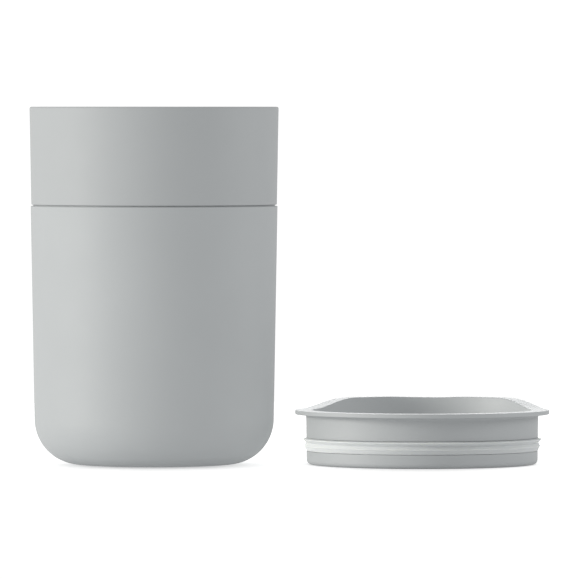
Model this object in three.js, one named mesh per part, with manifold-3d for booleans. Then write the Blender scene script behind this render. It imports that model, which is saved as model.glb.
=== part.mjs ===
// A double-wall plastic cup and its plug lid, which lies beside it on the table.
// Millimetres, +Z up. The origin is on the table in the middle of the pair.
// +X runs from the cup to the lid, and +Y away from the viewer.

import * as THREE from "three";
import { mergeVertices } from "three/addons/utils/BufferGeometryUtils.js";
import Module from "manifold-3d";

// Outside of the cup
const cupHeight = 122;
const rimRadius = 42.5;
const sideDraft = 1; // degrees, the sides taper towards the base
const bandHeight = 33.4; // from the rim down to the seam
const shellProud = 0.2; // the shell stands this far outside the band
const baseFillet = 15.5;
const footWidth = 3.2;
const footRecess = 0.8;
const gateRadius = 2.8; // dimple in the middle of the base, where the moulding was filled
const gateDepth = 0.4;
const rimRound = 0.7;

// Walls of the cup
const rimWall = 2.2;
const shellWall = 2;
const airGap = 1.6;
const linerWall = 1.8;
const shellFloor = 2;
const floorGap = 1.8;
const linerFloor = 2;

// Joint between the inner cup and the shell
const seamGap = 0.4; // height of the shadow line
const seamDepth = 0.8;
const seamRound = 0.25;
const seatGap = 0.05;
const spigotLand = 1.9; // spigot below the ring groove
const spigotClearance = 0.15;
const beadDrop = 2.2; // from the seam down to the middle of the snap bead
const beadWidth = 1.2;
const beadHeight = 0.35;
const ringDrop = 3; // from the bead down to the middle of the sealing ring
const ringHeight = 1.8;
const ringGrooveDepth = 1.1;
const ringClearance = 0.1;

// Lid
const lidGap = 5.6; // clear space between the cup's rim and the lid's flange
const plugDepth = 17.1; // below the flange
const plugClearance = 0.7; // to the cup's mouth
const plugFootroom = 5; // straight mouth below the seated plug
const plugDraft = 0.6; // degrees
const plugWall = 2.2;
const plugRound = 1.6;
const basinDraft = 2.5; // degrees
const basinFillet = 2;
const lidFloor = 2.2;
const flangeOverhang = 0.9; // past the cup's rim, for a finger to lift
const flangeThickness = 1.45;
const flangeFillet = 1.2;
const flangeRound = 0.3;

// Raised drinking lip
const lipHeight = 3.2;
const lipLean = 0.2; // inward lean of its outer face for each unit of height
const lipTurn = 4.6; // degrees from +Y towards +X
const lipFullAngle = 40; // degrees each side of its middle at full height
const lipEndAngle = 74;
const lipDip = 0.27;
const lipDipAngle = 22;

// Openings in the lid's floor
const sipWidth = 6;
const sipSpan = 38; // degrees between the centres of its round ends
const sipMargin = 1.2; // to the foot of the basin's wall
const ventDiameter = 3;

// Silicone seal of the lid
const sealGrooveRise = 4.6; // lower edge above the lid's underside
const sealGrooveHeight = 4.55;
const sealGrooveDepth = 1.2;
const sealClearance = 0.1;
const lowerLipReach = 0.8; // past the plug's wall
const lowerLipRise = 1.75; // tip above the groove's lower edge
const upperLipReach = 1.15;
const upperLipDrop = 0.6; // tip below the groove's upper edge
const waistReach = 0.2;
const lipTip = 0.15; // half the thickness of a lip's tip

// Facets
const cupSegments = 56;
const lidSegments = 72;
const baseSteps = 8;
const filletSteps = 6;
const throatSteps = 6;
const rimSteps = 3;
const edgeSteps = 2;
const ringSteps = 10;
const slotSteps = 6;
const mergeTolerance = 1e-4;

const wasm = await Module();
wasm.setup();

const rad = THREE.MathUtils.degToRad;
const slope = (degrees) => Math.tan(rad(degrees));
const at = (r, z) => new THREE.Vector2(r, z);

// Heights
const seam = cupHeight - bandHeight;
const shellFloorTop = footRecess + shellFloor;
const linerUnderside = shellFloorTop + floorGap;
const linerFloorTop = linerUnderside + linerFloor;
const beadMiddle = seam - beadDrop;
const ringMiddle = beadMiddle - ringDrop;
const spigotFoot = ringMiddle - ringHeight / 2 - spigotLand;
const throatTop = cupHeight - plugDepth - plugFootroom;
const flangeTop = plugDepth + flangeThickness;

// Radii, each as a function of height where the wall is drafted
const bandOuter = (z) => rimRadius - (cupHeight - z) * slope(sideDraft);
const mouth = (z) => bandOuter(z) - rimWall;
const shellOuter = (z) => bandOuter(z) + shellProud;
const shellInner = (z) => shellOuter(z) - shellWall;
const spigot = (z) => shellInner(z) - spigotClearance;
const linerOuter = (z) => shellInner(z) - airGap;
const linerInner = (z) => linerOuter(z) - linerWall;
const ringGroove = spigot(ringMiddle) - ringGrooveDepth;

const flangeRadius = rimRadius + flangeOverhang;
const plugTopRadius = rimRadius - rimWall - plugClearance;
const plug = (z) => plugTopRadius - (plugDepth - z) * slope(plugDraft);
const basin = (z) => plugTopRadius - plugWall - (flangeTop - z) * slope(basinDraft);
const sealGrooveTop = sealGrooveRise + sealGrooveHeight;
const sealGroove = plug(sealGrooveRise) - sealGrooveDepth;

// Arc points about (r, z), angles in degrees, both ends included.
function arc(r, z, radius, from, to, steps) {
  const curve = new THREE.EllipseCurve(r, z, radius, radius, rad(from), rad(to), to < from);
  return curve.getPoints(steps);
}

// Round corner between a floor and a drafted wall, from the floor to the wall.
function corner(wall, draft, floor, radius, steps) {
  const centre = floor + radius;
  return arc(wall(centre) - radius / Math.cos(rad(draft)), centre, radius, -90, -draft, steps);
}

// Solid of revolution about +Z from a profile that runs out along the underside and up the outside.
function revolve(profile, segments) {
  const geometry = new THREE.LatheGeometry(profile, segments);
  return geometry.rotateX(Math.PI / 2);
}

function toSolid(geometry) {
  const bare = geometry.clone();
  bare.deleteAttribute("normal");
  bare.deleteAttribute("uv");
  const merged = mergeVertices(bare, mergeTolerance);
  const triVerts = new Uint32Array(merged.index.array);
  const vertProperties = merged.attributes.position.array;
  return new wasm.Manifold(new wasm.Mesh({ numProp: 3, vertProperties, triVerts }));
}

function toGeometry(solid) {
  const mesh = solid.getMesh();
  const geometry = new THREE.BufferGeometry();
  geometry.setAttribute("position", new THREE.BufferAttribute(mesh.vertProperties, mesh.numProp));
  geometry.setIndex(new THREE.BufferAttribute(mesh.triVerts, 1));
  geometry.computeVertexNormals();
  return geometry;
}

function piece(name, geometry, look) {
  const mesh = new THREE.Mesh(geometry, new THREE.MeshStandardMaterial({ metalness: 0, ...look }));
  mesh.name = name;
  return mesh;
}

// Snap bead on a drafted wall, pointing outward: three points up the wall.
function bead(wall, width) {
  const low = beadMiddle - width / 2;
  const high = beadMiddle + width / 2;
  return [at(wall(low), low), at(wall(beadMiddle) + beadHeight, beadMiddle), at(wall(high), high)];
}

// Drinking vessel: liner, spigot with ring groove and snap bead, visible band, mouth and throat
function innerCup() {
  const ringLow = ringMiddle - ringHeight / 2;
  const ringHigh = ringMiddle + ringHeight / 2;
  const outerFillet = baseFillet - shellWall - airGap;
  const innerFillet = outerFillet - linerWall;
  const rimHeight = cupHeight - rimRound;
  const throatMiddle = (throatTop + spigotFoot) / 2;
  const throat = new THREE.CubicBezierCurve(
    at(mouth(throatTop), throatTop),
    at(mouth(throatMiddle), throatMiddle),
    at(linerInner(throatMiddle), throatMiddle),
    at(linerInner(spigotFoot), spigotFoot),
  );
  return revolve(
    [
      at(0, linerUnderside),
      ...corner(linerOuter, sideDraft, linerUnderside, outerFillet, filletSteps),
      at(linerOuter(spigotFoot - airGap), spigotFoot - airGap),
      at(spigot(spigotFoot), spigotFoot),
      at(spigot(ringLow), ringLow),
      at(ringGroove, ringLow),
      at(ringGroove, ringHigh),
      at(spigot(ringHigh), ringHigh),
      ...bead(spigot, beadWidth),
      at(spigot(seam), seam),
      ...arc(bandOuter(seam) - seamRound, seam + seamRound, seamRound, -90, 0, edgeSteps),
      ...arc(bandOuter(rimHeight) - rimRound, rimHeight, rimRound, 0, 90, rimSteps),
      ...arc(mouth(rimHeight) + rimRound, rimHeight, rimRound, 90, 180, rimSteps),
      ...throat.getPoints(throatSteps),
      ...corner(linerInner, sideDraft, linerFloorTop, innerFillet, filletSteps).reverse(),
      at(0, linerFloorTop),
    ],
    cupSegments,
  );
}

// Outer shell: gate dimple, foot ring, rounded base, drafted side, seat at the seam and snap groove
function outerShell() {
  const fillet = corner(shellOuter, sideDraft, 0, baseFillet, baseSteps);
  const innerFillet = baseFillet - shellWall;
  const recess = fillet[0].x - footWidth;
  const top = seam - seamGap;
  const seat = seam - seatGap;
  const seatRadius = shellOuter(seam) - seamDepth;
  return revolve(
    [
      at(0, footRecess + gateDepth),
      at(gateRadius - gateDepth, footRecess + gateDepth),
      at(gateRadius, footRecess),
      at(recess - footRecess, footRecess),
      at(recess, 0),
      ...fillet,
      ...arc(shellOuter(top) - seamRound, top - seamRound, seamRound, 0, 90, edgeSteps),
      at(seatRadius, top),
      at(seatRadius, seat),
      at(shellInner(seat), seat),
      ...bead(shellInner, beadWidth + 2 * spigotClearance).reverse(),
      ...corner(shellInner, sideDraft, shellFloorTop, innerFillet, filletSteps).reverse(),
      at(0, shellFloorTop),
    ],
    cupSegments,
  );
}

// Sealing ring in the joint, squeezed between the spigot's groove and the shell
function shellRing() {
  const halfHeight = ringHeight / 2 - ringClearance;
  const inner = ringGroove + ringClearance;
  const outer = shellInner(ringMiddle - halfHeight) - ringClearance;
  const section = new THREE.EllipseCurve((inner + outer) / 2, ringMiddle, (outer - inner) / 2, halfHeight);
  return revolve(section.getPoints(ringSteps), cupSegments);
}

// Height that the drinking lip adds at a bearing, in degrees from +Y towards +X.
function lipRise(bearing) {
  const offset = Math.abs(THREE.MathUtils.euclideanModulo(bearing - lipTurn + 180, 360) - 180);
  const dip = lipDip * (1 - THREE.MathUtils.smoothstep(offset, 0, lipDipAngle));
  return (lipHeight - dip) * (1 - THREE.MathUtils.smoothstep(offset, lipFullAngle, lipEndAngle));
}

// Lifts the top of the lid's rim, the given run of profile points, into the drinking lip.
function raiseLip(geometry, profileLength, outerEdge, innerEdge) {
  const position = geometry.attributes.position;
  for (let i = 0; i < position.count; i += 1) {
    const point = i % profileLength;
    if (outerEdge.includes(point) || innerEdge.includes(point)) {
      const x = position.getX(i);
      const y = position.getY(i);
      const rise = lipRise(THREE.MathUtils.radToDeg(Math.atan2(x, y)));
      const lean = outerEdge.includes(point) ? lipLean * rise : 0;
      const shrink = 1 - lean / Math.hypot(x, y);
      position.setXYZ(i, x * shrink, y * shrink, position.getZ(i) + rise);
    }
  }
  return geometry;
}

// Cutter for the curved sip slot, and one for the vent on the far side of the floor.
// Both reach a floor's thickness past the floor's two faces.
function floorCutters() {
  const foot = corner(basin, basinDraft, lidFloor, basinFillet, edgeSteps)[0].x;
  const centre = foot - sipMargin - sipWidth / 2;
  const half = rad(sipSpan / 2);
  const middle = Math.PI / 2 - rad(lipTurn);
  const onArc = (angle) => at(centre * Math.cos(angle), centre * Math.sin(angle));
  const left = onArc(middle + half);
  const right = onArc(middle - half);
  const slot = new THREE.Shape();
  slot.absarc(0, 0, centre + sipWidth / 2, middle - half, middle + half, false);
  slot.absarc(left.x, left.y, sipWidth / 2, middle + half, middle + half + Math.PI, false);
  slot.absarc(0, 0, centre - sipWidth / 2, middle + half, middle - half, true);
  slot.absarc(right.x, right.y, sipWidth / 2, middle - half + Math.PI, middle - half + 2 * Math.PI, false);
  const vent = new THREE.Shape();
  const ventPlace = onArc(middle + Math.PI);
  vent.absarc(ventPlace.x, ventPlace.y, ventDiameter / 2, 0, 2 * Math.PI, false);
  return [slot, vent].map((outline) => {
    const options = { depth: 3 * lidFloor, bevelEnabled: false, curveSegments: slotSteps };
    return new THREE.ExtrudeGeometry(outline, options).translate(0, 0, -lidFloor);
  });
}

// Lid: plug with seal groove, flange, basin, raised drinking lip, sip slot and vent
function lidBody() {
  const underFlange = [
    at(0, 0),
    ...corner(plug, plugDraft, 0, plugRound, rimSteps),
    at(plug(sealGrooveRise), sealGrooveRise),
    at(sealGroove, sealGrooveRise),
    at(sealGroove, sealGrooveTop),
    at(plug(sealGrooveTop), sealGrooveTop),
    ...arc(plugTopRadius + flangeFillet, plugDepth - flangeFillet, flangeFillet, 180, 90, rimSteps),
    ...arc(flangeRadius - flangeRound, plugDepth + flangeRound, flangeRound, -90, 0, edgeSteps),
  ];
  const edgeHeight = flangeTop - flangeRound;
  const outerTop = arc(flangeRadius - flangeRound, edgeHeight, flangeRound, 0, 90, edgeSteps);
  const innerTop = arc(basin(flangeTop) + flangeRound, edgeHeight, flangeRound, 90, 180, edgeSteps);
  const inside = [...corner(basin, basinDraft, lidFloor, basinFillet, rimSteps).reverse(), at(0, lidFloor)];
  const profile = [...underFlange, ...outerTop, ...innerTop, ...inside];
  const outerEdge = outerTop.map((point) => profile.indexOf(point));
  const innerEdge = innerTop.map((point) => profile.indexOf(point));
  const bowl = raiseLip(revolve(profile, lidSegments), profile.length, outerEdge, innerEdge);
  const [slot, vent] = floorCutters();
  return toGeometry(toSolid(bowl).subtract(toSolid(slot)).subtract(toSolid(vent)));
}

// Seal: a ring in the groove with a short lower lip and a longer upper lip
function lidSeal() {
  const inner = sealGroove + sealClearance;
  const low = sealGrooveRise + sealClearance;
  const high = sealGrooveTop - sealClearance;
  const lowerTip = sealGrooveRise + lowerLipRise;
  const upperTip = sealGrooveTop - upperLipDrop;
  const waist = (lowerTip + upperTip) / 2;
  const profile = [
    at(inner, low),
    at(plug(low), low),
    at(plug(lowerTip) + lowerLipReach - lipTip, lowerTip - lipTip),
    at(plug(lowerTip) + lowerLipReach, lowerTip),
    at(plug(lowerTip) + lowerLipReach - lipTip, lowerTip + lipTip),
    at(plug(waist) + waistReach, waist),
    at(plug(upperTip) + upperLipReach - lipTip, upperTip - lipTip),
    at(plug(upperTip) + upperLipReach, upperTip),
    at(plug(upperTip) + upperLipReach - lipTip, upperTip + lipTip),
    at(plug(high), high),
    at(inner, high),
    at(inner, low),
  ];
  return revolve(profile, lidSegments);
}

const greyPlastic = { color: 0xb3b7b7, roughness: 0.55 };
const paleSilicone = { color: 0xdfe2e1, roughness: 0.4 };
const whiteSilicone = { color: 0xe6e6e2, roughness: 0.5 };

const cup = new THREE.Group();
cup.add(piece("inner_cup", innerCup(), greyPlastic));
cup.add(piece("outer_shell", outerShell(), greyPlastic));
cup.add(piece("shell_ring", shellRing(), whiteSilicone));

const lid = new THREE.Group();
lid.add(piece("lid_body", lidBody(), greyPlastic));
lid.add(piece("lid_seal", lidSeal(), paleSilicone));

const pairLength = 2 * rimRadius + lidGap + 2 * flangeRadius;
cup.position.x = rimRadius - pairLength / 2;
lid.position.x = pairLength / 2 - flangeRadius;

const cupWithLid = new THREE.Group();
cupWithLid.add(cup, lid);

export default cupWithLid;
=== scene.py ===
import math
from typing import NamedTuple

import bmesh
import bpy
from bpy.props import FloatProperty, FloatVectorProperty, IntProperty, PointerProperty
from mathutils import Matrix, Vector


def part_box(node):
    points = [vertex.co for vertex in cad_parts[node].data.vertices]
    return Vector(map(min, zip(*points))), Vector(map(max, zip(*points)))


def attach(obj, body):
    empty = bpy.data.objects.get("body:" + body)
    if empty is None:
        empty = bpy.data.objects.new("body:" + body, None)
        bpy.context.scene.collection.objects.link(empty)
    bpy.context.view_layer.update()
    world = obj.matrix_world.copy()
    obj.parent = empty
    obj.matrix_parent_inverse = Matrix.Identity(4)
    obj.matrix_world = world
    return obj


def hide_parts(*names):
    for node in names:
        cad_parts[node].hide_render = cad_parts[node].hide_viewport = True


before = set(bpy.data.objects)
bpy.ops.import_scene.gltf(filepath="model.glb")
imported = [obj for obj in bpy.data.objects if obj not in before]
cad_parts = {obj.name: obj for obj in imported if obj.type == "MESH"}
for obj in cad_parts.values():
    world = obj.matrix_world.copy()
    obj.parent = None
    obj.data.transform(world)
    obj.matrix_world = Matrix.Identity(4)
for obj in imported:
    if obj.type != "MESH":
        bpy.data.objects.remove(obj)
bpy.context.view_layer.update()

bl_info = {
    "name": "Plastic cup with plug lid",
    "version": (1, 0, 0),
    "blender": (4, 5, 0),
    "location": "3D View > Sidebar > Cup",
    "description": "Builds a double-wall plastic cup, its plug lid and a plain white stage",
    "category": "Mesh",
}


def round_node(name):
    """Largest radius of a round node, X of its axis, and its lowest and highest level."""
    low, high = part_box(name)
    return (high.x - low.x) / 2, (high.x + low.x) / 2, low.z, high.z


BAND_RADIUS, CUP_X, LINER_UNDERSIDE, CUP_HEIGHT = round_node("inner_cup")
SHELL_RADIUS, _, _, SHELL_TOP = round_node("outer_shell")
RING_RADIUS, _, RING_LOW, RING_HIGH = round_node("shell_ring")
FLANGE_RADIUS, LID_X, _, LIP_TOP = round_node("lid_body")
SEAL_RADIUS, _, SEAL_LOW, SEAL_HIGH = round_node("lid_seal")

# Frame of the photograph, in pixels
PHOTO_WIDTH = 579
RIM_ROW = 106.7
HORIZON_ROW = 112.0
PIXEL = 0.0003413  # metres on the plane through both axes
SENSOR_MM = 36.0

QUARTER = math.pi / 2
FEWEST_FACES = 24


def length(name, description, default):
    """A length that the panel shows."""
    return FloatProperty(
        name=name, description=description, default=default, min=0.0, precision=5, unit="LENGTH"
    )


def turn(name, description, degrees):
    """An angle that the panel shows."""
    return FloatProperty(
        name=name, description=description, default=math.radians(degrees), subtype="ANGLE"
    )


def colour(name, description, default):
    """A finish colour that the panel shows, in linear values."""
    return FloatVectorProperty(
        name=name, description=description, default=default, size=3, min=0.0, max=1.0, subtype="COLOR"
    )


def factor(name, description, default):
    """A share from 0 to 1 that the panel shows."""
    return FloatProperty(
        name=name, description=description, default=default, min=0.0, max=1.0, subtype="FACTOR"
    )


def power(name, description, default):
    """The power of a light that the panel shows."""
    return FloatProperty(name=name, description=description, default=default, min=0.0, unit="POWER")


def amount(name, description, default):
    """A plain number that the panel shows."""
    return FloatProperty(name=name, description=description, default=default, min=0.0)


def faces(name, description, default):
    """A number of faces that the panel shows."""
    return IntProperty(name=name, description=description, default=default, min=FEWEST_FACES)


class CUP_PG_cup(bpy.types.PropertyGroup):
    """Sizes of the cup's inner cup, shell and sealing ring."""

    height: length("Height", "Table to rim", CUP_HEIGHT)
    band_radius: length("Band radius", "Outside of the band just under the rim", BAND_RADIUS)
    shell_radius: length("Shell radius", "Outside of the shell just under the seam", SHELL_RADIUS)
    draft: turn("Draft", "Taper of the sides towards the base", 1)
    rim_wall: length("Rim wall", "Wall of the band at the mouth", 0.0022)
    rim_round: length("Rim round", "Radius of both edges of the rim", 0.0007)
    seat: length("Seat", "Top of the shell, hidden in the seam", SHELL_TOP)
    seat_gap: length("Seat gap", "Between the shell's top and the band", 0.00005)
    seam_gap: length("Seam gap", "Height of the dark line between band and shell", 0.00045)
    seam_depth: length("Seam depth", "How far the dark line goes in", 0.0009)
    seam_round: length("Seam round", "Radius of the edges beside the seam", 0.00025)
    shell_wall: length("Shell wall", "Wall of the outer shell", 0.002)
    shell_floor: length("Shell floor", "Floor of the outer shell", 0.002)
    base_fillet: length("Base fillet", "Radius between the side and the foot", 0.0155)
    foot_width: length("Foot width", "Width of the ring that the cup stands on", 0.0032)
    foot_recess: length("Foot recess", "Depth of the hollow inside the foot ring", 0.0008)
    gate_radius: length("Gate radius", "Round dimple where the moulding was filled", 0.0028)
    gate_depth: length("Gate depth", "Depth of that dimple", 0.0004)
    air_gap: length("Air gap", "Between the shell and the liner", 0.0016)
    liner_wall: length("Liner wall", "Wall of the liner", 0.0018)
    liner_floor: length("Liner floor", "Floor of the liner", 0.002)
    liner_underside: length("Liner underside", "Table to the liner's underside", LINER_UNDERSIDE)
    throat_drop: length("Throat drop", "Rim to the start of the throat", 0.0221)
    spigot_land: length("Spigot land", "Spigot below the ring groove", 0.0019)
    spigot_clearance: length("Spigot clearance", "Between spigot and shell", 0.00015)
    bead_drop: length("Bead drop", "Seam to the middle of the snap bead", 0.0022)
    bead_width: length("Bead width", "Height of the snap bead along the wall", 0.0012)
    bead_height: length("Bead height", "How far the snap bead stands out", 0.00035)
    ring_radius: length("Ring radius", "Outside of the sealing ring", RING_RADIUS)
    ring_low: length("Ring low", "Lowest level of the sealing ring", RING_LOW)
    ring_high: length("Ring high", "Highest level of the sealing ring", RING_HIGH)
    ring_groove_depth: length("Ring groove depth", "Groove of the sealing ring", 0.0011)
    ring_clearance: length("Ring clearance", "Round the sealing ring", 0.0001)
    segments: faces("Segments", "Faces round the cup", 192)


class CUP_PG_lid(bpy.types.PropertyGroup):
    """Sizes of the lid and its seal."""

    flange_radius: length("Flange radius", "Outside of the flange", FLANGE_RADIUS)
    flange_thickness: length("Flange thickness", "Height of the flange's edge", 0.00145)
    flange_round: length("Flange round", "Radius of the flange's edges", 0.0003)
    flange_fillet: length("Flange fillet", "Radius between the flange and the plug", 0.0012)
    plug_depth: length("Plug depth", "Underside of the lid to the flange", 0.0171)
    plug_radius: length("Plug radius", "Outside of the plug just under the flange", 0.0396)
    plug_draft: turn("Plug draft", "Taper of the plug", 0.6)
    plug_wall: length("Plug wall", "Wall between the plug and the basin at the top", 0.0022)
    plug_round: length("Plug round", "Radius of the lower edge", 0.0016)
    basin_draft: turn("Basin draft", "Taper of the basin", 2.5)
    basin_fillet: length("Basin fillet", "Radius at the foot of the basin", 0.002)
    floor: length("Floor", "Floor of the basin", 0.0022)
    lip_top: length("Lip top", "Table to the highest point of the drinking lip", LIP_TOP)
    lip_lean: amount("Lip lean", "Inward lean of the lip's outer face per height", 0.2)
    lip_turn: turn("Lip turn", "Bearing of the lip's middle, from +Y towards +X", 4.6)
    lip_full: turn("Lip full", "Each side of its middle at full height", 40)
    lip_end: turn("Lip end", "Each side of its middle where the lip runs out", 74)
    lip_dip: length("Lip dip", "Hollow in the middle of the lip", 0.00027)
    lip_dip_span: turn("Lip dip span", "Each side of the middle where the hollow runs out", 22)
    sip_width: length("Sip width", "Width of the curved sip slot", 0.006)
    sip_span: turn("Sip span", "Between the centres of the slot's round ends", 38)
    sip_margin: length("Sip margin", "Between the slot and the basin's wall", 0.0012)
    vent_radius: length("Vent radius", "Small air hole across from the slot", 0.0015)
    hole_round: length("Hole round", "Radius of the edges of slot and vent", 0.0004)
    groove_rise: length("Groove rise", "Underside of the lid to the seal's groove", 0.0046)
    groove_height: length("Groove height", "Height of the seal's groove", 0.00455)
    groove_depth: length("Groove depth", "Depth of the seal's groove", 0.0012)
    groove_round: length("Groove round", "Radius of the groove's edges", 0.0001)
    seal_radius: length("Seal radius", "Tip of the seal's longer lip", SEAL_RADIUS)
    seal_low: length("Seal low", "Lowest level of the seal", SEAL_LOW)
    seal_high: length("Seal high", "Highest level of the seal", SEAL_HIGH)
    seal_clearance: length("Seal clearance", "Between the seal and the groove's floor", 0.0001)
    lower_lip_reach: length("Lower lip reach", "Past the plug's wall", 0.0008)
    lower_lip_rise: length("Lower lip rise", "Groove's lower edge to the lip's tip", 0.00175)
    upper_lip_drop: length("Upper lip drop", "Groove's upper edge to the lip's tip", 0.0006)
    waist_reach: length("Waist reach", "Seal between its lips, past the plug's wall", 0.0002)
    lip_tip: length("Lip tip", "Radius of a seal lip's tip", 0.00015)
    segments: faces("Segments", "Faces round the lid", 240)


class CUP_PG_finish(bpy.types.PropertyGroup):
    """Colours and surface of the plastics and silicones."""

    band: colour("Band plastic", "Cool grey of the band", (0.39, 0.4075, 0.4145))
    shell: colour("Shell plastic", "Cool grey of the shell", (0.41, 0.429, 0.4365))
    lid: colour("Lid plastic", "Cool grey of the lid", (0.387, 0.404, 0.411))
    # Painted light: the lid's own plastic, made paler so that the shaded basin inside looks lit
    lid_inside_painted_light: colour("Lid inside", "Cool grey of the lid's polished inside", (0.465, 0.483, 0.49))
    seal: colour("Seal silicone", "Pale silicone of the lid's seal", (0.53, 0.55, 0.553))
    ring: colour("Ring silicone", "White silicone of the hidden ring", (0.75, 0.75, 0.73))
    matt: factor("Matt roughness", "Roughness of the textured outside", 0.58)
    satin: factor("Satin roughness", "Roughness of the polished inside", 0.52)
    soft: factor("Silicone roughness", "Roughness of the silicones", 0.85)


class CUP_PG_stage(bpy.types.PropertyGroup):
    """Floor, lights and camera."""

    distance: length("Camera distance", "Camera to the plane through both axes", 2.8)
    floor_radius: length("Floor radius", "Size of the round floor", 0.6)
    floor_white: factor("Floor white", "How pale the floor is", 0.8)
    floor_excess: amount("Floor excess", "Overexposure of the floor", 0.4)
    floor_glow: amount("Floor glow", "Light from below, through the floor", 0.295)
    dome: amount("Dome", "Even light from all sides", 0.72)
    key_tint: colour("Key tint", "Slightly warm colour of the lights on the left", (1.0, 0.975, 0.93))
    key_power: power("Key light", "Soft light on the left of the cup", 10.6)
    lid_key_power: power("Lid key light", "Soft light on the left of the lid", 11.6)
    seal_key_power: power("Seal key light", "Soft light on the left of the seal", 4.2)
    fill_power: power("Fill light", "Weak light on the right of the cup", 2.5)
    lid_fill_power: power("Lid fill light", "Weak light on the right of the lid", 2.6)
    lid_top_power: power("Lid top light", "Light behind the lid", 4.2)


# Steps along the round stretches of a profile
FILLET_STEPS = 20
EDGE_STEPS = 6
BEAD_STEPS = 8
RING_STEPS = 32
THROAT_STEPS = 24
SLOT_STEPS = 20
VENT_STEPS = 40

# Half the turn of the round waist between the seal's lips
WAIST_TURN = 0.6

# Points on the straight stretches of a profile
RUN_STEP = 0.004
RUN_HOLD = 0.0002  # from a corner to the first point beside it
SHORTEST_RUN = 4 * RUN_HOLD

# Finish of the faces along a profile
MATT = 0
SATIN = 1


class Spot(NamedTuple):
    """A point of a profile: radius, level, and its share of the lip's rise and inward lean."""

    r: float
    z: float
    share: float = 0.0
    lean: float = 0.0
    finish: int = MATT


def arc(r, z, radius, start, end, steps, **more):
    """Spots of an arc about (r, z) between two angles, both ends included."""
    spots = []
    for i in range(steps + 1):
        angle = start + (end - start) * i / steps
        spots.append(Spot(r + radius * math.cos(angle), z + radius * math.sin(angle), **more))
    return spots


def corner(wall, draft, floor, radius, steps, **more):
    """Round corner from a floor to a drafted wall, whose radius at a level is wall(level)."""
    centre = floor + radius
    r = wall(centre) - radius / math.cos(draft)
    return arc(r, centre, radius, -QUARTER, -draft, steps, **more)


def bezier(a, b, c, d, steps, **more):
    """Spots of a cubic curve with the ends a and d."""
    spots = []
    for i in range(steps + 1):
        t = i / steps
        weights = ((1 - t) ** 3, 3 * t * (1 - t) ** 2, 3 * t * t * (1 - t), t ** 3)
        r = sum(w * p[0] for w, p in zip(weights, (a, b, c, d)))
        z = sum(w * p[1] for w, p in zip(weights, (a, b, c, d)))
        spots.append(Spot(r, z, **more))
    return spots


def between(a, b, t):
    """The spot a share t of the way from a to b, with the finish of b."""
    mixed = (p + (q - p) * t for p, q in zip(a[:4], b[:4]))
    return Spot(*mixed, b.finish)


def fill_runs(profile):
    """Adds spots along straight stretches, so that shading turns only beside the corners."""
    filled = [profile[0]]
    for a, b in zip(profile, profile[1:]):
        run = math.dist(a[:2], b[:2])
        if run > SHORTEST_RUN:
            hold = RUN_HOLD / run
            count = max(1, round(run / RUN_STEP))
            shares = [hold] if a.r > 0 else []
            shares += [i / count for i in range(1, count)]
            shares += [1 - hold] if b.r > 0 else []
            filled += [between(a, b, t) for t in shares]
        filled.append(b)
    return filled


def revolve(bm, profile, segments, rise=None, closed=False):
    """Turns a profile, which runs out along the underside and up the outside, into faces."""
    rings = []
    for spot in profile:
        ring = []
        for i in range(segments if spot.r > 0 else 1):
            angle = 2 * math.pi * i / segments
            lift = rise(QUARTER - angle) if rise else 0.0
            r = spot.r - spot.lean * lift
            z = spot.z + spot.share * lift
            ring.append(bm.verts.new((r * math.cos(angle), r * math.sin(angle), z)))
        rings.append(ring)
    ends = list(zip(rings, rings[1:], profile[1:]))
    if closed:
        ends.append((rings[-1], rings[0], profile[0]))
    for lower, upper, spot in ends:
        for i in range(segments):
            j = (i + 1) % segments
            corners = [
                lower[i % len(lower)],
                lower[j % len(lower)],
                upper[j % len(upper)],
                upper[i % len(upper)],
            ]
            face = bm.faces.new(list(dict.fromkeys(corners)))
            face.material_index = spot.finish
            face.smooth = True
    return rings


SHARP_ANGLE = math.radians(40)


def finish_piece(name, bm, axis_x, body, node, materials):
    """Turns faces into a piece of the part: placed on its axis, riding on its body."""
    mesh = bpy.data.meshes.new(name)
    bm.normal_update()
    bm.to_mesh(mesh)
    bm.free()
    mesh.set_sharp_from_angle(angle=SHARP_ANGLE)
    for material in materials:
        mesh.materials.append(material)
    piece = bpy.data.objects.new(name, mesh)
    piece.location.x = axis_x
    bpy.context.scene.collection.objects.link(piece)
    piece.modifiers.new("even_shading", "WEIGHTED_NORMAL").keep_sharp = True
    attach(piece, body)
    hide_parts(node)


# Finishes

# Noise of the surfaces: size of its lumps, detail, and the range that most of its values lie in
GRAIN_SIZE = 0.0003
GRAIN_DETAIL = 2.0
CLOUD_SIZE = 0.012
CLOUD_DETAIL = 3.0
DRIFT_SIZE = 0.03
DRIFT_DETAIL = 2.0
NOISE_LOW = 0.3
NOISE_HIGH = 0.7

# Depth of the grain, and the share of it on each surface
RELIEF_DEPTH = 0.00002
MATT_RELIEF = 0.15
SATIN_RELIEF = 0.05
SILICONE_RELIEF = 0.1

# Plastics: drift of the pigment, unevenness of the sheen, and the shader's constants
PLASTIC_SWING = 0.012
PLASTIC_UNEVENNESS = 0.03
PLASTIC_IOR = 1.49
PLASTIC_SHEEN = 0.05
PLASTIC_SHEEN_ROUGHNESS = 0.6

# Silicones: the same, and how light enters them
SILICONE_SWING = 0.015
SILICONE_UNEVENNESS = 0.04
SILICONE_IOR = 1.41
SILICONE_GLOW = 0.9
SILICONE_GLOW_REACH = (1.0, 1.0, 0.9)
SEAL_GLOW_DEPTH = 0.001
RING_GLOW_DEPTH = 0.0008


def add_node(tree, kind, **values):
    """Adds a shader node and sets the named inputs."""
    node = tree.nodes.new(kind)
    for name, value in values.items():
        node.inputs[name.replace("_", " ")].default_value = value
    return node


def start_material(name):
    """New material with its node tree, its shader and the piece's own coordinates."""
    material = bpy.data.materials.new(name)
    material.use_nodes = True
    tree = material.node_tree
    coords = tree.nodes.new("ShaderNodeTexCoord").outputs["Object"]
    return material, tree, tree.nodes["Principled BSDF"], coords


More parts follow.
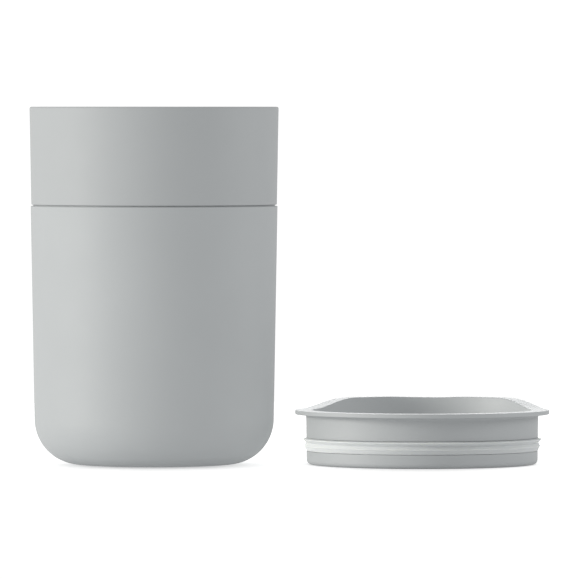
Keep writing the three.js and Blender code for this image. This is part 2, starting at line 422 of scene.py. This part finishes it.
def noise(tree, coords, size, detail):
    """Noise whose lumps are about size across."""
    node = add_node(tree, "ShaderNodeTexNoise", Scale=1 / size, Detail=detail)
    tree.links.new(coords, node.inputs["Vector"])
    return node.outputs[0]


def spread(tree, value, low, high):
    """Noise brought into a range about its middle."""
    node = add_node(
        tree, "ShaderNodeMapRange", From_Min=NOISE_LOW, From_Max=NOISE_HIGH, To_Min=low, To_Max=high
    )
    tree.links.new(value, node.inputs["Value"])
    return node.outputs["Result"]


def pigment(tree, value, base, swing):
    """Colour that drifts about the base by a small swing."""
    ramp = tree.nodes.new("ShaderNodeValToRGB")
    ends = ((NOISE_LOW, 1 - swing), (NOISE_HIGH, 1 + swing))
    for element, (place, share) in zip(ramp.color_ramp.elements, ends):
        element.position = place
        element.color = (*(share * c for c in base), 1.0)
    tree.links.new(value, ramp.inputs["Fac"])
    return ramp.outputs["Color"]


def grain(tree, shader, height, strength):
    """Fine relief on the surface."""
    bump = add_node(tree, "ShaderNodeBump", Strength=strength, Distance=RELIEF_DEPTH)
    tree.links.new(height, bump.inputs["Height"])
    tree.links.new(bump.outputs["Normal"], shader.inputs["Normal"])


def surface(name, base, swing, roughness, unevenness, relief):
    """Material with a faint drift of its pigment, soft clouds of sheen and a fine grain."""
    material, tree, shader, coords = start_material(name)
    clouds = noise(tree, coords, CLOUD_SIZE, CLOUD_DETAIL)
    drift = noise(tree, coords, DRIFT_SIZE, DRIFT_DETAIL)
    fine = noise(tree, coords, GRAIN_SIZE, GRAIN_DETAIL)
    sheen = spread(tree, clouds, roughness - unevenness, roughness + unevenness)
    tree.links.new(pigment(tree, drift, base, swing), shader.inputs["Base Color"])
    tree.links.new(sheen, shader.inputs["Roughness"])
    grain(tree, shader, fine, relief)
    return material, shader


def moulded_plastic(name, base, roughness, relief):
    """Moulded plastic with the grain of its tool."""
    material, shader = surface(name, base, PLASTIC_SWING, roughness, PLASTIC_UNEVENNESS, relief)
    shader.inputs["IOR"].default_value = PLASTIC_IOR
    shader.inputs["Sheen Weight"].default_value = PLASTIC_SHEEN
    shader.inputs["Sheen Roughness"].default_value = PLASTIC_SHEEN_ROUGHNESS
    return material


def silicone(name, base, roughness, depth):
    """Soft silicone that light enters to a small depth."""
    material, shader = surface(
        name, base, SILICONE_SWING, roughness, SILICONE_UNEVENNESS, SILICONE_RELIEF
    )
    shader.inputs["IOR"].default_value = SILICONE_IOR
    shader.inputs["Subsurface Weight"].default_value = SILICONE_GLOW
    shader.inputs["Subsurface Radius"].default_value = SILICONE_GLOW_REACH
    shader.inputs["Subsurface Scale"].default_value = depth
    return material


# Cup


class CupForm:
    """Radii and levels of the cup, worked out from the sizes in the panel."""

    def __init__(self, sizes):
        self.sizes = sizes
        self.slope = math.tan(sizes.draft)
        self.rim = sizes.height - sizes.rim_round
        self.seam = sizes.seat + sizes.seat_gap
        self.seam_low = self.seam - sizes.seam_gap
        self.shell_floor_top = sizes.foot_recess + sizes.shell_floor
        self.liner_floor_top = sizes.liner_underside + sizes.liner_floor
        self.throat_top = sizes.height - sizes.throat_drop
        self.ring_low = sizes.ring_low - sizes.ring_clearance
        self.ring_high = sizes.ring_high + sizes.ring_clearance
        self.spigot_foot = self.ring_low - sizes.spigot_land
        self.ring_groove = self.spigot((self.ring_low + self.ring_high) / 2) - sizes.ring_groove_depth

    def band(self, z):
        """Outside of the band."""
        return self.sizes.band_radius - (self.rim - z) * self.slope

    def mouth(self, z):
        """Inside of the band."""
        return self.band(z) - self.sizes.rim_wall

    def shell(self, z):
        """Outside of the shell."""
        return self.sizes.shell_radius - (self.seam_low - self.sizes.seam_round - z) * self.slope

    def shell_inside(self, z):
        """Inside of the shell."""
        return self.shell(z) - self.sizes.shell_wall

    def spigot(self, z):
        """Outside of the spigot that the shell is pushed over."""
        return self.shell_inside(z) - self.sizes.spigot_clearance

    def liner(self, z):
        """Outside of the liner."""
        return self.shell_inside(z) - self.sizes.air_gap

    def liner_inside(self, z):
        """Inside of the liner."""
        return self.liner(z) - self.sizes.liner_wall

    def bead(self, wall, width):
        """Round snap bead up a drafted wall."""
        middle = self.seam - self.sizes.bead_drop
        spots = []
        for i in range(BEAD_STEPS + 1):
            t = 2 * i / BEAD_STEPS - 1
            z = middle + t * width / 2
            spots.append(Spot(wall(z) + self.sizes.bead_height * (1 - t * t), z))
        return spots


def inner_cup_profile(form):
    """Liner underside, spigot with groove and snap bead, band, rim, mouth, throat and liner inside."""
    sizes = form.sizes
    outer_fillet = sizes.base_fillet - sizes.shell_wall - sizes.air_gap
    inner_fillet = outer_fillet - sizes.liner_wall
    edge = sizes.seam_round
    rim = sizes.rim_round
    step = form.spigot_foot - sizes.air_gap
    throat_middle = (form.throat_top + form.spigot_foot) / 2
    throat = bezier(
        (form.mouth(form.throat_top), form.throat_top),
        (form.mouth(throat_middle), throat_middle),
        (form.liner_inside(throat_middle), throat_middle),
        (form.liner_inside(form.spigot_foot), form.spigot_foot),
        THROAT_STEPS,
        finish=SATIN,
    )
    inside_corner = corner(
        form.liner_inside, sizes.draft, form.liner_floor_top, inner_fillet, FILLET_STEPS, finish=SATIN
    )
    return [
        Spot(0, sizes.liner_underside),
        *corner(form.liner, sizes.draft, sizes.liner_underside, outer_fillet, FILLET_STEPS),
        Spot(form.liner(step), step),
        Spot(form.spigot(form.spigot_foot), form.spigot_foot),
        Spot(form.spigot(form.ring_low), form.ring_low),
        Spot(form.ring_groove, form.ring_low),
        Spot(form.ring_groove, form.ring_high),
        Spot(form.spigot(form.ring_high), form.ring_high),
        *form.bead(form.spigot, sizes.bead_width),
        Spot(form.spigot(form.seam), form.seam),
        *arc(form.band(form.seam) - edge, form.seam + edge, edge, -QUARTER, 0, EDGE_STEPS),
        *arc(form.band(form.rim) - rim, form.rim, rim, 0, QUARTER, EDGE_STEPS),
        *arc(form.mouth(form.rim) + rim, form.rim, rim, QUARTER, math.pi, EDGE_STEPS),
        *throat,
        *reversed(inside_corner),
        Spot(0, form.liner_floor_top, finish=SATIN),
    ]


def outer_shell_profile(form):
    """Foot ring with its recess and gate dimple, rounded base, side, seat at the seam and inside."""
    sizes = form.sizes
    fillet = corner(form.shell, sizes.draft, 0, sizes.base_fillet, 2 * FILLET_STEPS)
    recess = fillet[0].r - sizes.foot_width
    seat_radius = form.shell(form.seam) - sizes.seam_depth
    inner_fillet = sizes.base_fillet - sizes.shell_wall
    inside_corner = corner(
        form.shell_inside, sizes.draft, form.shell_floor_top, inner_fillet, FILLET_STEPS
    )
    edge = sizes.seam_round
    return [
        Spot(0, sizes.foot_recess + sizes.gate_depth),
        Spot(sizes.gate_radius - sizes.gate_depth, sizes.foot_recess + sizes.gate_depth),
        Spot(sizes.gate_radius, sizes.foot_recess),
        Spot(recess - sizes.foot_recess, sizes.foot_recess),
        Spot(recess, 0),
        *fillet,
        *arc(form.shell(form.seam_low) - edge, form.seam_low - edge, edge, 0, QUARTER, EDGE_STEPS),
        Spot(seat_radius, form.seam_low),
        Spot(seat_radius, sizes.seat),
        Spot(form.shell_inside(sizes.seat), sizes.seat),
        *reversed(form.bead(form.shell_inside, sizes.bead_width + 2 * sizes.spigot_clearance)),
        *reversed(inside_corner),
        Spot(0, form.shell_floor_top),
    ]


def shell_ring_profile(form):
    """Oval section of the sealing ring, between the spigot's groove and the shell."""
    sizes = form.sizes
    inner = form.ring_groove + sizes.ring_clearance
    r = (inner + sizes.ring_radius) / 2
    z = (sizes.ring_low + sizes.ring_high) / 2
    half_width = (sizes.ring_radius - inner) / 2
    half_height = (sizes.ring_high - sizes.ring_low) / 2
    spots = []
    for i in range(RING_STEPS):
        angle = 2 * math.pi * i / RING_STEPS
        spots.append(Spot(r + half_width * math.cos(angle), z + half_height * math.sin(angle)))
    return spots


# Lid


def smooth_step(value, low, high):
    """Smooth change from 0 at low to 1 at high."""
    t = min(1.0, max(0.0, (value - low) / (high - low)))
    return t * t * (3 - 2 * t)


class LidForm:
    """Radii, levels and outlines of the lid, worked out from the sizes in the panel."""

    def __init__(self, sizes):
        self.sizes = sizes
        self.flange_top = sizes.plug_depth + sizes.flange_thickness
        self.groove_top = sizes.groove_rise + sizes.groove_height
        self.groove_radius = self.plug(sizes.groove_rise) - sizes.groove_depth
        self.basin_corner = corner(
            self.basin, sizes.basin_draft, sizes.floor, sizes.basin_fillet, FILLET_STEPS, finish=SATIN
        )
        self.hole_circle = self.basin_corner[0].r - sizes.sip_margin - sizes.sip_width / 2

    def plug(self, z):
        """Outside of the plug."""
        return self.sizes.plug_radius - (self.sizes.plug_depth - z) * math.tan(self.sizes.plug_draft)

    def basin(self, z):
        """Inside of the basin."""
        top = self.sizes.plug_radius - self.sizes.plug_wall
        return top - (self.flange_top - z) * math.tan(self.sizes.basin_draft)

    def lip_rise(self, bearing):
        """Height that the drinking lip adds at a bearing from +Y towards +X."""
        sizes = self.sizes
        offset = abs((bearing - sizes.lip_turn + math.pi) % (2 * math.pi) - math.pi)
        dip = sizes.lip_dip * (1 - smooth_step(offset, 0, sizes.lip_dip_span))
        full = sizes.lip_top - self.flange_top - dip
        return full * (1 - smooth_step(offset, sizes.lip_full, sizes.lip_end))

    def on_circle(self, angle):
        """Point on the circle through the middles of slot and vent."""
        return self.hole_circle * math.cos(angle), self.hole_circle * math.sin(angle)

    def slot_outline(self, grow):
        """Curved sip slot, grown outward, anticlockwise seen from above."""
        half = self.sizes.sip_width / 2 + grow
        middle = QUARTER - self.sizes.lip_turn
        start, end = middle - self.sizes.sip_span / 2, middle + self.sizes.sip_span / 2
        stretches = (
            ((0, 0), self.hole_circle + half, start, end),
            (self.on_circle(end), half, end, end + math.pi),
            ((0, 0), self.hole_circle - half, end, start),
            (self.on_circle(start), half, start + math.pi, start + 2 * math.pi),
        )
        points = []
        for (x, y), radius, first, last in stretches:
            points += [(x + s.r, y + s.z) for s in arc(0, 0, radius, first, last, SLOT_STEPS)[:-1]]
        return points

    def vent_outline(self, grow):
        """Round vent across from the slot, grown outward."""
        x, y = self.on_circle(-QUARTER - self.sizes.lip_turn)
        radius = self.sizes.vent_radius + grow
        return [(x + s.r, y + s.z) for s in arc(0, 0, radius, 0, 2 * math.pi, VENT_STEPS)[:-1]]


def lid_profile(form):
    """Plug with its groove, flange, rim with the lift of the drinking lip, and basin."""
    sizes = form.sizes
    edge = sizes.flange_round
    bend = sizes.flange_fillet
    groove = sizes.groove_round
    low = sizes.groove_rise
    high = form.groove_top
    top = form.flange_top - edge
    rim = sizes.flange_radius - edge
    return [
        *corner(form.plug, sizes.plug_draft, 0, sizes.plug_round, FILLET_STEPS),
        *arc(form.plug(low) - groove, low - groove, groove, 0, QUARTER, EDGE_STEPS),
        Spot(form.groove_radius, low),
        Spot(form.groove_radius, high),
        *arc(form.plug(high) - groove, high + groove, groove, -QUARTER, 0, EDGE_STEPS),
        *arc(sizes.plug_radius + bend, sizes.plug_depth - bend, bend, math.pi, QUARTER, 2 * EDGE_STEPS),
        *arc(rim, sizes.plug_depth + edge, edge, -QUARTER, 0, EDGE_STEPS),
        *arc(rim, top, edge, 0, QUARTER, EDGE_STEPS, share=1, lean=sizes.lip_lean),
        *arc(form.basin(form.flange_top) + edge, top, edge, QUARTER, math.pi, EDGE_STEPS, share=1),
        *reversed(form.basin_corner),
    ]


def hole_wall(bm, outline, form):
    """Wall of a hole through the lid's floor, with round edges; returns its top and bottom loops."""
    edge = form.sizes.hole_round
    levels = []
    for i in range(EDGE_STEPS + 1):
        angle = QUARTER * i / EDGE_STEPS
        levels.append((edge * (1 - math.sin(angle)), edge * (1 - math.cos(angle))))
    upper = [(grow, form.sizes.floor - drop) for grow, drop in levels]
    lower = [(grow, drop) for grow, drop in reversed(levels)]
    loops = [[bm.verts.new((x, y, z)) for x, y in outline(grow)] for grow, z in upper + lower]
    for above, below in zip(loops, loops[1:]):
        for i, vert in enumerate(above):
            j = (i + 1) % len(above)
            face = bm.faces.new((vert, above[j], below[j], below[i]))
            face.material_index = SATIN
            face.smooth = True
    return loops[0], loops[-1]


def fill_plate(bm, loops, facing, finish):
    """Flat face between an outer loop and the loops of its holes, facing up or down."""
    edges = []
    for loop in loops:
        for i, vert in enumerate(loop):
            pair = (vert, loop[(i + 1) % len(loop)])
            edges.append(bm.edges.get(pair) or bm.edges.new(pair))
    made = bmesh.ops.triangle_fill(bm, use_beauty=True, edges=edges)["geom"]
    for face in made:
        if isinstance(face, bmesh.types.BMFace):
            face.normal_update()
            if face.normal.z * facing < 0:
                face.normal_flip()
            face.material_index = finish
            face.smooth = True


def seal_profile(form):
    """Ring in the groove with a short lower lip and a longer upper lip, with round tips."""
    sizes = form.sizes
    inner = form.groove_radius + sizes.seal_clearance
    low = sizes.seal_low
    high = sizes.seal_high
    lower_tip = sizes.groove_rise + sizes.lower_lip_rise
    upper_tip = form.groove_top - sizes.upper_lip_drop
    waist = (lower_tip + upper_tip) / 2
    tip = sizes.lip_tip
    lower_reach = form.plug(lower_tip) + sizes.lower_lip_reach - tip
    waist_reach = form.plug(waist) + sizes.waist_reach + tip
    upper_reach = sizes.seal_radius - tip
    return [
        Spot(inner, low),
        Spot(form.plug(low), low),
        *arc(lower_reach, lower_tip, tip, -QUARTER, QUARTER, EDGE_STEPS),
        *arc(waist_reach, waist, tip, -math.pi + WAIST_TURN, -math.pi - WAIST_TURN, EDGE_STEPS),
        *arc(upper_reach, upper_tip, tip, -QUARTER, QUARTER, EDGE_STEPS),
        Spot(form.plug(high), high),
        Spot(inner, high),
    ]


# Operators


class CUP_OT_inner_cup(bpy.types.Operator):
    """Builds the drinking vessel: the band under the rim and the liner below it"""

    bl_idname = "cup.inner_cup"
    bl_label = "Inner cup"

    def execute(self, context):
        sizes, finish = context.scene.cup_sizes, context.scene.cup_finish
        bm = bmesh.new()
        revolve(bm, fill_runs(inner_cup_profile(CupForm(sizes))), sizes.segments)
        materials = [
            moulded_plastic("band_plastic", finish.band, finish.matt, MATT_RELIEF),
            moulded_plastic("band_plastic_inside", finish.band, finish.satin, SATIN_RELIEF),
        ]
        finish_piece("inner_cup_moulding", bm, CUP_X, "cup", "inner_cup", materials)
        return {"FINISHED"}


class CUP_OT_outer_shell(bpy.types.Operator):
    """Builds the lower shell with its rounded base and foot ring"""

    bl_idname = "cup.outer_shell"
    bl_label = "Outer shell"

    def execute(self, context):
        sizes, finish = context.scene.cup_sizes, context.scene.cup_finish
        bm = bmesh.new()
        revolve(bm, fill_runs(outer_shell_profile(CupForm(sizes))), sizes.segments)
        materials = [moulded_plastic("shell_plastic", finish.shell, finish.matt, MATT_RELIEF)]
        finish_piece(
            "outer_shell_moulding", bm, CUP_X, "cup", "outer_shell", materials
        )
        return {"FINISHED"}


class CUP_OT_shell_ring(bpy.types.Operator):
    """Builds the sealing ring hidden in the joint under the seam"""

    bl_idname = "cup.shell_ring"
    bl_label = "Shell ring"

    def execute(self, context):
        sizes, finish = context.scene.cup_sizes, context.scene.cup_finish
        bm = bmesh.new()
        revolve(bm, shell_ring_profile(CupForm(sizes)), sizes.segments, closed=True)
        materials = [silicone("ring_silicone", finish.ring, finish.soft, RING_GLOW_DEPTH)]
        finish_piece("shell_ring_moulding", bm, CUP_X, "cup", "shell_ring", materials)
        return {"FINISHED"}


class CUP_OT_lid_body(bpy.types.Operator):
    """Builds the lid: plug, flange, raised drinking lip, basin, sip slot and vent"""

    bl_idname = "cup.lid_body"
    bl_label = "Lid body"

    def execute(self, context):
        sizes, finish = context.scene.cup_lid_sizes, context.scene.cup_finish
        form = LidForm(sizes)
        bm = bmesh.new()
        rings = revolve(bm, fill_runs(lid_profile(form)), sizes.segments, rise=form.lip_rise)
        slot_top, slot_bottom = hole_wall(bm, form.slot_outline, form)
        vent_top, vent_bottom = hole_wall(bm, form.vent_outline, form)
        fill_plate(bm, [rings[-1], slot_top, vent_top], 1, SATIN)
        fill_plate(bm, [rings[0], slot_bottom, vent_bottom], -1, MATT)
        materials = [
            moulded_plastic("lid_plastic", finish.lid, finish.matt, MATT_RELIEF),
            # Painted light: the inside takes the paler copy of the lid's grey
            moulded_plastic("lid_plastic_inside", finish.lid_inside_painted_light, finish.satin, SATIN_RELIEF),
        ]
        finish_piece("lid_moulding", bm, LID_X, "lid", "lid_body", materials)
        return {"FINISHED"}


class CUP_OT_lid_seal(bpy.types.Operator):
    """Builds the pale silicone seal with its two lips"""

    bl_idname = "cup.lid_seal"
    bl_label = "Lid seal"

    def execute(self, context):
        sizes, finish = context.scene.cup_lid_sizes, context.scene.cup_finish
        bm = bmesh.new()
        revolve(bm, seal_profile(LidForm(sizes)), sizes.segments, closed=True)
        materials = [silicone("seal_silicone", finish.seal, finish.soft, SEAL_GLOW_DEPTH)]
        finish_piece("lid_seal_moulding", bm, LID_X, "lid", "lid_seal", materials)
        return {"FINISHED"}


# Stage

FLOOR_SEGMENTS = 96
FLOOR_DROP = 0.0001  # below the part's underside, so that no two faces share a plane
BACKGROUND_WHITE = 1.05
WHITE = (1.0, 1.0, 1.0, 1.0)

# Painted shade under the lid: distances from the lid's axis between which the floor's glow and
# overexposure set in, and the share of the overexposure that is left under the lid, where the floor is
# painted darker
GLOW_START = 0.028
GLOW_FULL = 0.046
UNDER_LID_SHARE = 0.6

# Painted soft shadows on the floor in front of the lid and the cup: middle, share of the overexposure
# left there, reach
LID_PAINTED_SHADOW = (LID_X, -0.042)
LID_SHADOW_SHARE = 0.3
CUP_PAINTED_SHADOW = (CUP_X, -0.025)
CUP_SHADOW_SHARE = 0.15
SHADOW_START = 0.005
SHADOW_END = 0.055


def fade(tree, coords, centre, start, end, low, high):
    """Value that goes smoothly from low to high with the distance from a place on the floor."""
    apart = tree.nodes.new("ShaderNodeVectorMath")
    apart.operation = "DISTANCE"
    apart.inputs[1].default_value = (*centre, 0.0)
    tree.links.new(coords, apart.inputs[0])
    ramp = add_node(tree, "ShaderNodeMapRange", From_Min=start, From_Max=end, To_Min=low, To_Max=high)
    ramp.interpolation_type = "SMOOTHSTEP"
    tree.links.new(apart.outputs["Value"], ramp.inputs["Value"])
    return ramp.outputs["Result"]


def floor_finish(stage):
    """Matt white paper, lit from below and seen overexposed, save for painted shade under the lid and
    painted shadows.
    """
    material, tree, shader, coords = start_material("floor_white")
    white = stage.floor_white
    shader.inputs["Base Color"].default_value = (white, white, white, 1.0)
    shader.inputs["Roughness"].default_value = 1.0
    shader.inputs["Specular IOR Level"].default_value = 0.0
    shader.inputs["Emission Color"].default_value = WHITE
    # Painted shade: under the lid the floor's glow and overexposure are turned down, so the floor looks
    # shaded there
    painted_shade_under_lid = (tree, coords, (LID_X, 0.0), GLOW_START, GLOW_FULL)
    tree.links.new(fade(*painted_shade_under_lid, 0.0, stage.floor_glow), shader.inputs["Emission Strength"])
    excess = fade(*painted_shade_under_lid, UNDER_LID_SHARE * stage.floor_excess, stage.floor_excess)
    # Painted shadows: the overexposure is turned down in front of the lid and the cup, so the floor
    # looks shaded there
    for middle, least in ((LID_PAINTED_SHADOW, LID_SHADOW_SHARE), (CUP_PAINTED_SHADOW, CUP_SHADOW_SHARE)):
        share = fade(tree, coords, middle, SHADOW_START, SHADOW_END, least, 1.0)
        product = tree.nodes.new("ShaderNodeMath")
        product.operation = "MULTIPLY"
        tree.links.new(excess, product.inputs[0])
        tree.links.new(share, product.inputs[1])
        excess = product.outputs[0]
    path = tree.nodes.new("ShaderNodeLightPath")
    overexposed = tree.nodes.new("ShaderNodeEmission")
    both = tree.nodes.new("ShaderNodeAddShader")
    tree.links.new(excess, overexposed.inputs["Color"])
    tree.links.new(path.outputs["Is Camera Ray"], overexposed.inputs["Strength"])
    tree.links.new(shader.outputs[0], both.inputs[0])
    tree.links.new(overexposed.outputs[0], both.inputs[1])
    tree.links.new(both.outputs[0], tree.nodes["Material Output"].inputs["Surface"])
    return material


def lay_floor(stage):
    """Round white floor under the part."""
    bm = bmesh.new()
    bmesh.ops.create_circle(bm, cap_ends=True, segments=FLOOR_SEGMENTS, radius=stage.floor_radius)
    mesh = bpy.data.meshes.new("floor")
    bm.to_mesh(mesh)
    bm.free()
    mesh.materials.append(floor_finish(stage))
    floor = bpy.data.objects.new("floor", mesh)
    bpy.context.scene.collection.objects.link(floor)
    floor.location.z = -FLOOR_DROP


def light_dome(stage):
    """Even dome of light in front of a white background."""
    world = bpy.data.worlds.new("studio")
    world.use_nodes = True
    tree = world.node_tree
    tree.nodes.clear()
    dome = add_node(tree, "ShaderNodeBackground", Color=WHITE, Strength=stage.dome)
    paper = add_node(tree, "ShaderNodeBackground", Color=WHITE, Strength=BACKGROUND_WHITE)
    path = tree.nodes.new("ShaderNodeLightPath")
    mix = tree.nodes.new("ShaderNodeMixShader")
    output = tree.nodes.new("ShaderNodeOutputWorld")
    tree.links.new(path.outputs["Is Camera Ray"], mix.inputs[0])
    tree.links.new(dome.outputs[0], mix.inputs[1])
    tree.links.new(paper.outputs[0], mix.inputs[2])
    tree.links.new(mix.outputs[0], output.inputs["Surface"])
    bpy.context.scene.world = world


def around(distance, bearing, height):
    """Place round the part, at a bearing in degrees from the camera's side towards +X."""
    angle = math.radians(bearing)
    return distance * math.sin(angle), -distance * math.cos(angle), height


class Softbox(NamedTuple):
    """A soft light: its place and size, its power in the panel, what it lights and what shades it."""

    name: str
    place: tuple
    size: tuple
    power: str
    lit: str
    shading: str
    warm: bool = False


# Pieces that share lights, and the middles that the lights are turned to
CUP = "cup_pieces"
LID = "lid_pieces"
SEAL = "seal_alone"
LIT_PIECES = {
    CUP: ("inner_cup_moulding", "outer_shell_moulding", "shell_ring_moulding"),
    LID: ("lid_moulding", "lid_seal_moulding"),
    SEAL: ("lid_seal_moulding",),
}
MIDDLES = {CUP: (CUP_X, 0.0, 0.06), LID: (LID_X, 0.0, 0.012)}

LEFT_OF_CUP = around(1.3, -72, 0.2)
RIGHT_OF_CUP = around(1.3, 95, 0.2)
LEFT_OF_LID = around(1.2, -78, 0.26)
RIGHT_OF_LID = around(1.2, 92, 0.5)
BEHIND_LID = (LID_X, 0.9, 0.5)
LID_KEY_SIZE = (0.4, 0.5)

SOFTBOXES = (
    Softbox("key_light", LEFT_OF_CUP, (0.7, 1.0), "key_power", CUP, CUP, warm=True),
    Softbox("lid_key_light", LEFT_OF_LID, LID_KEY_SIZE, "lid_key_power", LID, LID, warm=True),
    Softbox("seal_key_light", LEFT_OF_LID, LID_KEY_SIZE, "seal_key_power", SEAL, LID, warm=True),
    Softbox("fill_light", RIGHT_OF_CUP, (0.5, 0.9), "fill_power", CUP, CUP),
    Softbox("lid_fill_light", RIGHT_OF_LID, (0.4, 0.4), "lid_fill_power", LID, LID),
    Softbox("lid_top_light", BEHIND_LID, (0.5, 0.5), "lid_top_power", LID, LID),
)


def gather(name):
    """Set of the pieces that share a light."""
    pieces = bpy.data.collections.new(name)
    for member in LIT_PIECES[name]:
        pieces.objects.link(bpy.data.objects[member])
    return pieces


def set_lights(stage):
    """Softboxes round the cup and the lid, each of which lights only its own pieces."""
    sets = {name: gather(name) for name in LIT_PIECES}
    for box in SOFTBOXES:
        data = bpy.data.lights.new(box.name, "AREA")
        data.shape = "RECTANGLE"
        data.size, data.size_y = box.size
        data.energy = getattr(stage, box.power)
        if box.warm:
            data.color = stage.key_tint
        light = bpy.data.objects.new(box.name, data)
        light.location = box.place
        light.rotation_mode = "QUATERNION"
        aim = Vector(MIDDLES[box.shading]) - Vector(box.place)
        light.rotation_quaternion = aim.to_track_quat("-Z", "Y")
        light.visible_camera = False
        light.light_linking.receiver_collection = sets[box.lit]
        light.light_linking.blocker_collection = sets[box.shading]
        bpy.context.scene.collection.objects.link(light)


def set_camera(stage):
    """Camera at the photograph's viewing angle, level with the rim."""
    focal = stage.distance / PIXEL
    data = bpy.data.cameras.new("photo_camera")
    data.sensor_width = SENSOR_MM
    data.lens = SENSOR_MM * focal / PHOTO_WIDTH
    camera = bpy.data.objects.new("photo_camera", data)
    eye = CUP_HEIGHT - (HORIZON_ROW - RIM_ROW) * PIXEL
    pitch = math.atan((PHOTO_WIDTH / 2 - HORIZON_ROW) / focal)
    camera.location = (0.0, -stage.distance, eye)
    camera.rotation_euler = (QUARTER - pitch, 0.0, 0.0)
    bpy.context.scene.collection.objects.link(camera)
    bpy.context.scene.camera = camera


class CUP_OT_stage(bpy.types.Operator):
    """Lays the white floor and sets the lights and the camera"""

    bl_idname = "cup.stage"
    bl_label = "Stage"

    def execute(self, context):
        stage = context.scene.cup_stage
        lay_floor(stage)
        light_dome(stage)
        set_lights(stage)
        set_camera(stage)
        context.scene.view_settings.view_transform = "Standard"
        return {"FINISHED"}


OPERATORS = (
    CUP_OT_inner_cup,
    CUP_OT_outer_shell,
    CUP_OT_shell_ring,
    CUP_OT_lid_body,
    CUP_OT_lid_seal,
    CUP_OT_stage,
)

SETTINGS = (
    ("cup_sizes", CUP_PG_cup),
    ("cup_lid_sizes", CUP_PG_lid),
    ("cup_finish", CUP_PG_finish),
    ("cup_stage", CUP_PG_stage),
)


class CUP_PT_panel(bpy.types.Panel):
    """Sizes, finishes and the steps that build the cup"""

    bl_label = "Plastic cup"
    bl_idname = "CUP_PT_panel"
    bl_space_type = "VIEW_3D"
    bl_region_type = "UI"
    bl_category = "Cup"

    def draw(self, context):
        for operator in OPERATORS:
            self.layout.operator(operator.bl_idname)
        for name, group in SETTINGS:
            box = self.layout.box()
            for field in group.__annotations__:
                box.prop(getattr(context.scene, name), field)


def register():
    for name, group in SETTINGS:
        bpy.utils.register_class(group)
        setattr(bpy.types.Scene, name, PointerProperty(type=group))
    for item in (*OPERATORS, CUP_PT_panel):
        bpy.utils.register_class(item)


def unregister():
    for item in (CUP_PT_panel, *reversed(OPERATORS)):
        bpy.utils.unregister_class(item)
    for name, group in reversed(SETTINGS):
        delattr(bpy.types.Scene, name)
        bpy.utils.unregister_class(group)


def main():
    """Builds every piece and the stage."""
    register()
    bpy.ops.cup.inner_cup()
    bpy.ops.cup.outer_shell()
    bpy.ops.cup.shell_ring()
    bpy.ops.cup.lid_body()
    bpy.ops.cup.lid_seal()
    bpy.ops.cup.stage()


if __name__ == "__main__":
    main()
